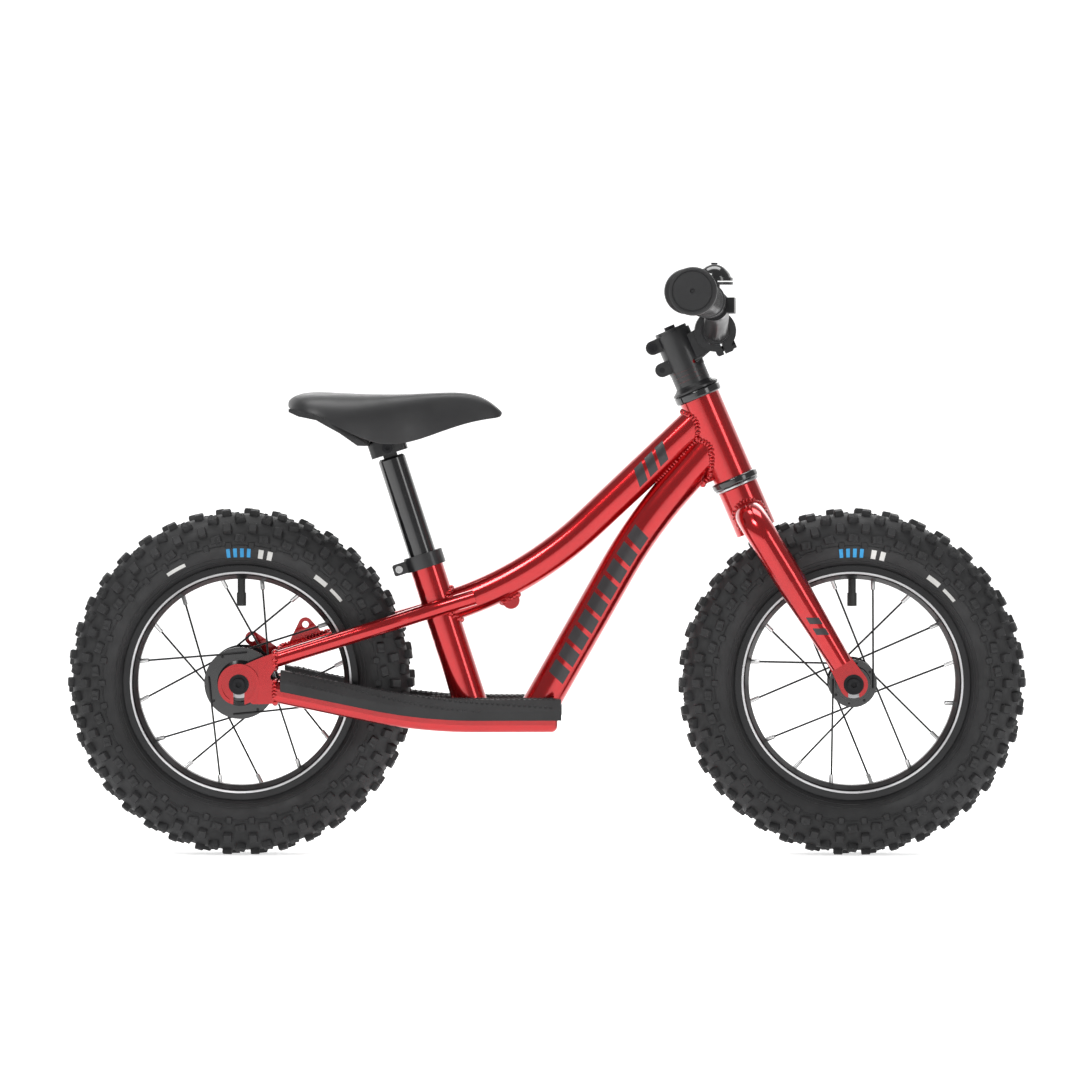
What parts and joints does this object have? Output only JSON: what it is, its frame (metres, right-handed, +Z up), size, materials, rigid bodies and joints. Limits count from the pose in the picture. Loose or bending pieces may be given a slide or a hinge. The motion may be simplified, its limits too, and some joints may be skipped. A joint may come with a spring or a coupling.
{
  "type": "balance bike",
  "caption": "Small child's balance bike with a bent tube frame, a footrest, spoked wheels on knobbly tyres, a steering fork, a riser bar with a bell and a saddle on a sliding post.",
  "frame": {"origin": "on the ground midway between the two axles, in the bike's centre plane", "axes": "+X is the way the bike rolls forward, +Y is the rider's left, +Z is up"},
  "size_m": [0.8784, 0.423, 0.5431],
  "materials": {
    "frame_paint": "candy red metallic paint over alloy, clear coated",
    "satin_black": "satin black anodised alloy",
    "gloss_black": "gloss black paint",
    "rim_black": "black anodised rim",
    "spoke_black": "black coated spokes",
    "nipple_steel": "plated nipples",
    "bearing_steel": "ground bearing steel",
    "bolt_black": "black oxide bolts",
    "bolt_silver": "plated bolt",
    "tyre": "black knobbly rubber",
    "inner_tube": "black butyl",
    "grip_rubber": "soft black rubber",
    "footrest_rubber": "moulded black grip pad",
    "saddle_cover": "satin black saddle cover over foam",
    "black_plastic": "moulded black plastic"
  },
  "bodies": {
    "frame": {"head_tube": "frame_paint", "top_tube": "frame_paint", "down_tube": "frame_paint", "seat_tube": "frame_paint", "head_gusset": "frame_paint", "cable_boss": "frame_paint", "dropout_left": "frame_paint", "dropout_right": "frame_paint", "upper_stay_left": "frame_paint", "upper_stay_right": "frame_paint", "disc_mount": "frame_paint", "lower_stay_left": "frame_paint", "lower_stay_right": "frame_paint", "footrest_deck": "frame_paint", "footrest_pad_left": "footrest_rubber", "footrest_pad_right": "footrest_rubber", "headset_cups": "gloss_black", "headset_bearings": "bearing_steel", "seat_collar": "satin_black", "seat_collar_bolt": "bolt_silver", "rear_axle": "bearing_steel", "rear_axle_bolts": "bolt_black"},
    "fork": {"fork_crown": "frame_paint", "fork_leg_left": "frame_paint", "fork_leg_right": "frame_paint", "crown_race": "bearing_steel", "headset_cover": "satin_black", "headset_spacers": "satin_black", "stem": "satin_black", "stem_faceplate": "satin_black", "stem_bolts": "bolt_black", "top_cap": "satin_black", "top_cap_bolt": "bolt_black", "front_axle": "bearing_steel", "front_axle_bolts": "bolt_black"},
    "handlebar": {"handlebar": "satin_black", "grip_left": "grip_rubber", "grip_right": "grip_rubber", "bell_base": "satin_black", "bell_dome": "gloss_black"},
    "bell_lever": {"bell_lever": "black_plastic"},
    "seat_post": {"seat_post": "gloss_black"},
    "saddle": {"saddle_clamp": "satin_black", "saddle_clamp_bolt": "bolt_black", "saddle_shell": "black_plastic", "saddle_pad": "saddle_cover"},
    "front_wheel": {"front_tyre": "tyre", "front_inner_tube": "inner_tube", "front_rim": "rim_black", "front_spokes": "spoke_black", "front_nipples": "nipple_steel", "front_hub": "gloss_black", "front_hub_bearings": "bearing_steel"},
    "rear_wheel": {"rear_tyre": "tyre", "rear_inner_tube": "inner_tube", "rear_rim": "rim_black", "rear_spokes": "spoke_black", "rear_nipples": "nipple_steel", "rear_hub": "gloss_black", "rear_hub_bearings": "bearing_steel"}
  },
  "joints": [
    {"name": "steering", "type": "hinge", "parent": "frame", "child": "fork", "pos_m": [0.14023, 0, 0.41963], "axis": [-0.3947, 0, 0.9188], "range_deg": [-80, 80]},
    {"name": "front_wheel_spin", "type": "hinge", "parent": "fork", "child": "front_wheel", "pos_m": [0.2805, 0, 0.1585], "axis": [0, 1, 0], "continuous": true},
    {"name": "rear_wheel_spin", "type": "hinge", "parent": "frame", "child": "rear_wheel", "pos_m": [-0.2805, 0, 0.1585], "axis": [0, 1, 0], "continuous": true},
    {"name": "handlebar_tilt", "type": "hinge", "parent": "fork", "child": "handlebar", "pos_m": [0.15452, 0, 0.48085], "axis": [0, 1, 0], "range_deg": [-20, 20]},
    {"name": "bell_lever_push", "type": "hinge", "parent": "handlebar", "child": "bell_lever", "pos_m": [0.13075, -0.092, 0.527], "axis": [0, 0, 1], "range_deg": [0, 30], "stiffness_Nm_per_rad": 0.02, "springref_deg": -11.46},
    {"name": "seat_height", "type": "slide", "parent": "frame", "child": "seat_post", "axis": [-0.3074, 0, 0.9516], "range_m": [-0.055, 0.03]},
    {"name": "saddle_tilt", "type": "hinge", "parent": "seat_post", "child": "saddle", "pos_m": [-0.14575, 0, 0.3738], "axis": [0, 1, 0], "range_deg": [-8, 8]}
  ]
}
